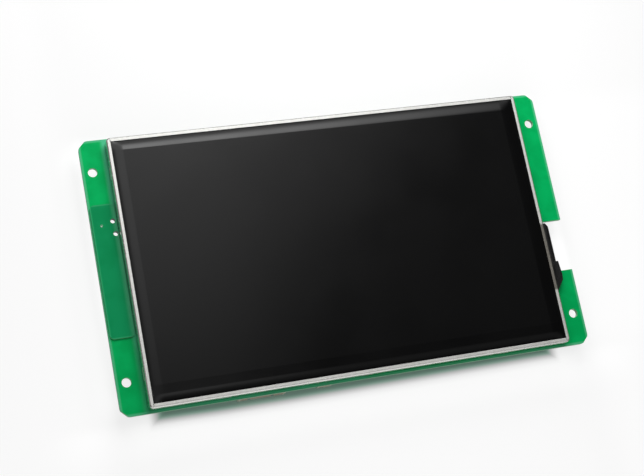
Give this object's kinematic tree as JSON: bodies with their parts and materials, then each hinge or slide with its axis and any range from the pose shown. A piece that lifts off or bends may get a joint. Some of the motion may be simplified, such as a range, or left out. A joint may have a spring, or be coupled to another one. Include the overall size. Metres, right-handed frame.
{
  "type": "display panel",
  "caption": "Flat touch display in a folded steel bezel on a green carrier board with mounting ears, a notch for its folded flexible circuit and electronics on the back.",
  "frame": {"origin": "middle of the four mounting holes, on the underside of the carrier board", "axes": "+Z out of the screen, +X to the side of the board with the notch, +Y to the upper edge of the screen"},
  "size_m": [0.1856, 0.1042, 0.0123],
  "materials": {
    "board_green": "solder mask, satin",
    "side_green": "solder mask, satin",
    "bezel_steel": "bright, smooth",
    "screen_black": "glossy",
    "adhesive_black": "matt",
    "clear_glass": "clear",
    "flex_black": "satin",
    "gasket_rubber": "matt foam",
    "polariser_dark": "clear dark film",
    "chip_black": "moulded, matt",
    "moulding_white": "moulded",
    "film_white": "clear to white film",
    "strip_amber": "satin",
    "diode_yellow": "moulded",
    "plate_steel": "galvanised",
    "tape_white": "foam",
    "connector_black": "moulded",
    "contact_gold": "plated",
    "crystal_steel": "satin",
    "ferrite_grey": "matt ferrite",
    "ceramic_tan": "satin",
    "ceramic_dark": "glazed",
    "can_aluminium": "drawn, satin",
    "housing_ivory": "moulded",
    "shell_steel": "bright"
  },
  "bodies": {
    "root": {"main_board": "board_green", "side_board": "side_green", "front_bezel": "bezel_steel", "touch_film": "screen_black", "touch_spacer": "adhesive_black", "touch_glass": "clear_glass", "touch_tail": "flex_black", "screen_gasket": "gasket_rubber", "front_polariser": "polariser_dark", "front_glass": "clear_glass", "rear_glass": "clear_glass", "rear_polariser": "polariser_dark", "driver_chips": "chip_black", "lcd_flex": "flex_black", "moulded_frame": "moulding_white", "upper_prism_film": "film_white", "lower_prism_film": "film_white", "diffuser_film": "film_white", "light_guide": "film_white", "reflector_film": "film_white", "light_strip": "strip_amber", "light_diodes": "diode_yellow", "back_plate": "plate_steel", "mounting_tape": "tape_white", "flex_plug": "connector_black", "flex_stiffener": "strip_amber", "flex_receptacle": "connector_black", "receptacle_contacts": "contact_gold", "processor": "chip_black", "memory_chip": "chip_black", "flash_chip": "chip_black", "regulators": "chip_black", "crystal": "crystal_steel", "power_inductors": "ferrite_grey", "inductor_cores": "ferrite_grey", "rectifier_diodes": "chip_black", "chip_capacitors": "ceramic_tan", "chip_resistors": "ceramic_dark", "capacitor_bases": "connector_black", "capacitor_cans": "can_aluminium", "buzzer": "connector_black", "buzzer_base": "connector_black", "header_housing": "housing_ivory", "header_pins": "contact_gold", "speaker_header": "housing_ivory", "speaker_pins": "contact_gold", "card_socket_base": "connector_black", "card_socket_shell": "shell_steel", "cell_holder": "connector_black", "cell_clip": "shell_steel", "coin_cell": "shell_steel"}
  },
  "joints": []
}
